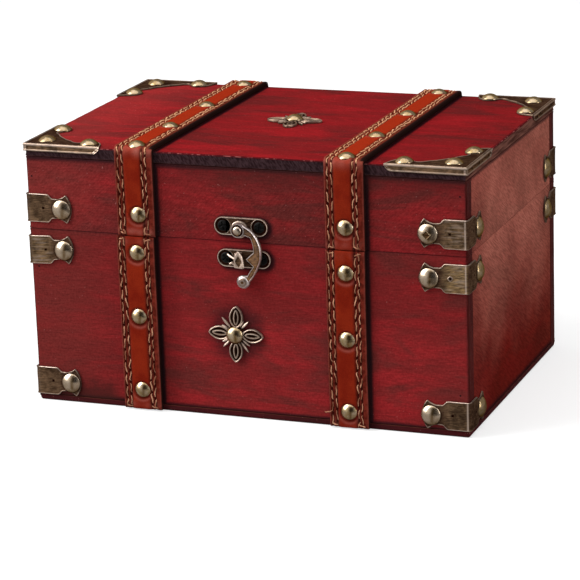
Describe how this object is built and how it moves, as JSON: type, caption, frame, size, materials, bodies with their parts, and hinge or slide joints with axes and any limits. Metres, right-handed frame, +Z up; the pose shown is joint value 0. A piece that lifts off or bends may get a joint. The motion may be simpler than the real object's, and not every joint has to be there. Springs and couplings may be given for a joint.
{
  "type": "wooden storage chest",
  "caption": "Small red-stained wooden chest with a hinged lid, leather straps, bronze corner fittings, domed tacks, rosettes and a swing-hook latch.",
  "frame": {"origin": "middle of the base board's underside", "axes": "+X to the chest's right along its front, -Y out of the front, +Z up"},
  "size_m": [0.2372, 0.1684, 0.1388],
  "materials": {
    "wood": "crimson stain with dark burnt edges, satin",
    "leather": "tan leather, stitched, worn edges",
    "bronze": "antique bronze, dark with rubbed bright edges",
    "tack": "pale worn brass",
    "screw": "black, dull"
  },
  "bodies": {
    "body": {"base_board": "wood", "body_front_wall": "wood", "body_back_wall": "wood", "body_left_wall": "wood", "body_right_wall": "wood", "body_front_strap_left": "leather", "body_front_strap_right": "leather", "body_back_strap_left": "leather", "body_back_strap_right": "leather", "body_upper_bracket_front_left": "bronze", "body_upper_bracket_front_right": "bronze", "body_upper_bracket_back_left": "bronze", "body_upper_bracket_back_right": "bronze", "body_lower_bracket_front_left": "bronze", "body_lower_bracket_front_right": "bronze", "front_rosette": "bronze", "front_rosette_tack": "tack", "catch_plate": "bronze", "catch_plate_screw_left": "screw", "catch_plate_screw_right": "screw", "hinge_left_lower_leaf": "bronze", "hinge_left_lower_screw_a": "screw", "hinge_left_lower_screw_b": "screw", "hinge_left_pin": "bronze", "hinge_right_lower_leaf": "bronze", "hinge_right_lower_screw_a": "screw", "hinge_right_lower_screw_b": "screw", "hinge_right_pin": "bronze"},
    "lid": {"lid_top_board": "wood", "lid_front_wall": "wood", "lid_back_wall": "wood", "lid_left_wall": "wood", "lid_right_wall": "wood", "lid_strap_left": "leather", "lid_strap_right": "leather", "lid_bracket_front_left": "bronze", "lid_bracket_front_right": "bronze", "lid_bracket_back_left": "bronze", "lid_bracket_back_right": "bronze", "lid_corner_front_left": "bronze", "lid_corner_front_right": "bronze", "lid_corner_back_left": "bronze", "lid_corner_back_right": "bronze", "top_rosette": "bronze", "top_rosette_tack": "tack", "hook_plate": "bronze", "hook_plate_screw_left": "screw", "hook_plate_screw_right": "screw", "hook_rivet": "tack", "hinge_left_upper_leaf": "bronze", "hinge_left_upper_screw_a": "screw", "hinge_left_upper_screw_b": "screw", "hinge_right_upper_leaf": "bronze", "hinge_right_upper_screw_a": "screw", "hinge_right_upper_screw_b": "screw"},
    "hook": {"hook": "bronze"}
  },
  "joints": [
    {"name": "lid_hinge", "type": "hinge", "parent": "body", "child": "lid", "pos_m": [0, 0.0801, 0.091], "axis": [-1, 0, 0], "range_deg": [0, 105]},
    {"name": "hook_pivot", "type": "hinge", "parent": "lid", "child": "hook", "pos_m": [-0.0007, -0.0775, 0.0978], "axis": [0, -1, 0], "range_deg": [-13, 110]}
  ]
}
